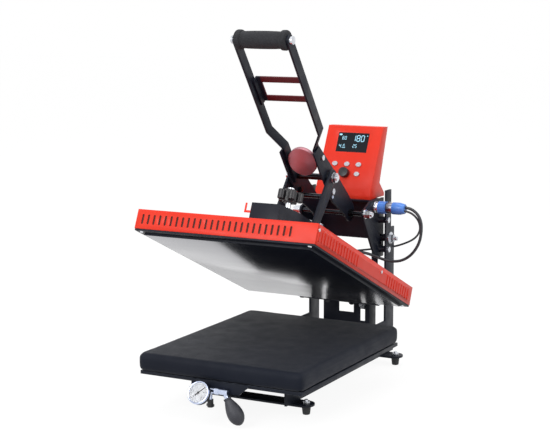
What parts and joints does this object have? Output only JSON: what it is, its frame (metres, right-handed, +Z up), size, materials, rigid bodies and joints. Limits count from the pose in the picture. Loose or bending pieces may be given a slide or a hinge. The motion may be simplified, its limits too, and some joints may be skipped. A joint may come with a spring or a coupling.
{
  "type": "membrane heat press",
  "caption": "Clamshell transfer press with a hinged red heating head over an inflatable membrane pad, toggle lever, leaning control box and a hand air bulb.",
  "frame": {"origin": "on the floor, under the middle of the whole press (84.2 mm behind the centre of the pad)", "axes": "+X to the operator's right, +Y to the rear, +Z up"},
  "size_m": [0.4354, 0.7455, 0.818],
  "materials": {
    "black_steel": "satin powder coat",
    "red_enamel": "semi-gloss enamel",
    "bright_steel": "zinc-bright",
    "chrome": "polished",
    "plate_alu": "cast, coated",
    "case_metal": "turned",
    "pad_rubber": "matt silicone sheet",
    "black_rubber": "matt",
    "grip_foam": "soft foam",
    "cord_rubber": "satin sheath",
    "blue_plastic": "moulded",
    "black_plastic": "moulded",
    "button_silver": "metallised",
    "screen_glass": "smoked",
    "dial_white": "printed",
    "lens_glass": "clear",
    "insulation": "fibre board"
  },
  "bodies": {
    "frame": {"side_frame_left": "black_steel", "side_frame_right": "black_steel", "crossbars": "black_steel", "feet": "black_rubber", "rear_panel": "black_steel", "head_bracket": "black_steel", "frame_bolts": "bright_steel", "frame_shafts": "bright_steel", "lower_tray": "black_steel", "membrane_pad": "pad_rubber", "gauge_holder": "black_steel", "gauge_bezel": "chrome", "gauge_dial": "dial_white", "gauge_lens": "lens_glass", "gauge_case": "black_steel", "air_pipe": "chrome", "squeeze_bulb": "black_rubber", "control_box": "red_enamel", "control_screen": "screen_glass", "back_plate": "black_steel", "power_inlet": "black_plastic", "cable_socket": "bright_steel", "plug_body": "case_metal", "plug_gland": "blue_plastic", "head_cord": "cord_rubber", "sensor_cord": "cord_rubber"},
    "needle": {"gauge_needle": "black_plastic"},
    "valve": {"release_valve": "black_plastic"},
    "button_1": {"button_1": "button_silver"},
    "button_2": {"button_2": "button_silver"},
    "button_3": {"button_3": "button_silver"},
    "button_4": {"button_4": "button_silver"},
    "dial": {"dial_knob": "black_plastic"},
    "rocker": {"power_switch": "black_plastic"},
    "coupling_ring": {"plug_ring": "blue_plastic"},
    "latch": {"plug_latch": "button_silver"},
    "lever": {"lever_plates": "black_steel", "lever_pins": "bright_steel", "handle_frame": "black_steel", "grip_rod": "bright_steel", "grip_foam": "grip_foam", "armature_disc": "bright_steel", "armature_yoke": "black_steel"},
    "links": {"links": "black_steel", "link_pins": "bright_steel"},
    "head": {"head_cover": "red_enamel", "plate_rim": "black_steel", "heating_plate": "plate_alu", "insulation_board": "insulation", "cover_screws": "bright_steel", "spindle_nut": "bright_steel", "head_beam": "black_steel", "angle_plate": "red_enamel", "holding_magnet": "bright_steel", "hinge_tube": "black_steel", "cord_glands": "black_rubber"},
    "knob": {"star_knob": "black_plastic", "pressure_spindle": "bright_steel"},
    "cylinders": {"gas_cylinders": "black_steel"},
    "rods": {"gas_rods": "bright_steel"}
  },
  "joints": [
    {"name": "lever_swing", "type": "hinge", "parent": "frame", "child": "lever", "pos_m": [0, 0.2182, 0.3787], "axis": [1, 0, 0], "range_deg": [0, 66.49]},
    {"name": "head_swing", "type": "hinge", "parent": "frame", "child": "head", "pos_m": [0, 0.2597, 0.1677], "axis": [1, 0, 0], "range_deg": [0, 24.25], "stiffness_Nm_per_rad": 60, "springref_deg": -114.59},
    {"name": "link_swing", "type": "hinge", "parent": "lever", "child": "links", "pos_m": [0, 0.1095, 0.4758], "axis": [1, 0, 0], "range_deg": [-82.8, 0]},
    {"name": "spring_swing", "type": "hinge", "parent": "frame", "child": "cylinders", "pos_m": [0, 0.3198, 0.308], "axis": [1, 0, 0], "range_deg": [-8.65, 0]},
    {"name": "spring_stroke", "type": "slide", "parent": "cylinders", "child": "rods", "axis": [0, 0.0508, 0.9987], "range_m": [0, 0.0184]},
    {"name": "knob_turn", "type": "hinge", "parent": "head", "child": "knob", "pos_m": [0, -0.00867, 0.42897], "axis": [0, 0.4099, 0.9121], "range_deg": [-540, 540]},
    {"name": "dial_turn", "type": "hinge", "parent": "frame", "child": "dial", "pos_m": [-0.0035, 0.29176, 0.46266], "axis": [0, -0.8973, 0.4415], "continuous": true},
    {"name": "rocker_tilt", "type": "hinge", "parent": "frame", "child": "rocker", "pos_m": [0.026, 0.34487, 0.47818], "axis": [1, 0, 0], "range_deg": [-16, 0]},
    {"name": "ring_turn", "type": "hinge", "parent": "frame", "child": "coupling_ring", "pos_m": [0.105, 0.2768, 0.388], "axis": [1, 0, 0], "range_deg": [0, 60]},
    {"name": "latch_press", "type": "slide", "parent": "frame", "child": "latch", "axis": [0, 0, -1], "range_m": [0, 0.0015], "stiffness_N_per_m": 300, "springref_m": -0.0005},
    {"name": "needle_turn", "type": "hinge", "parent": "frame", "child": "needle", "pos_m": [-0.0305, -0.35808, 0.0725], "axis": [0, 0.866, -0.5], "range_deg": [-180, 90]},
    {"name": "valve_turn", "type": "hinge", "parent": "frame", "child": "valve", "pos_m": [-0.015, -0.3347, 0.047], "axis": [0, 0, 1], "range_deg": [0, 360]},
    {"name": "button_1_press", "type": "slide", "parent": "frame", "child": "button_1", "axis": [0, 0.8973, -0.4415], "range_m": [0, 0.001], "stiffness_N_per_m": 300, "springref_m": -0.0005},
    {"name": "button_2_press", "type": "slide", "parent": "frame", "child": "button_2", "axis": [0, 0.8973, -0.4415], "range_m": [0, 0.001], "stiffness_N_per_m": 300, "springref_m": -0.0005},
    {"name": "button_3_press", "type": "slide", "parent": "frame", "child": "button_3", "axis": [0, 0.8973, -0.4415], "range_m": [0, 0.001], "stiffness_N_per_m": 300, "springref_m": -0.0005},
    {"name": "button_4_press", "type": "slide", "parent": "frame", "child": "button_4", "axis": [0, 0.8973, -0.4415], "range_m": [0, 0.001], "stiffness_N_per_m": 300, "springref_m": -0.0005}
  ],
  "couplings": [
    {"joint": "head_swing", "follows": "lever_swing", "ratio": 0.36396},
    {"joint": "link_swing", "follows": "lever_swing", "ratio": -1.2437},
    {"joint": "spring_swing", "follows": "lever_swing", "ratio": -0.12919},
    {"joint": "spring_stroke", "follows": "lever_swing", "m_per_rad": 0.015826}
  ]
}
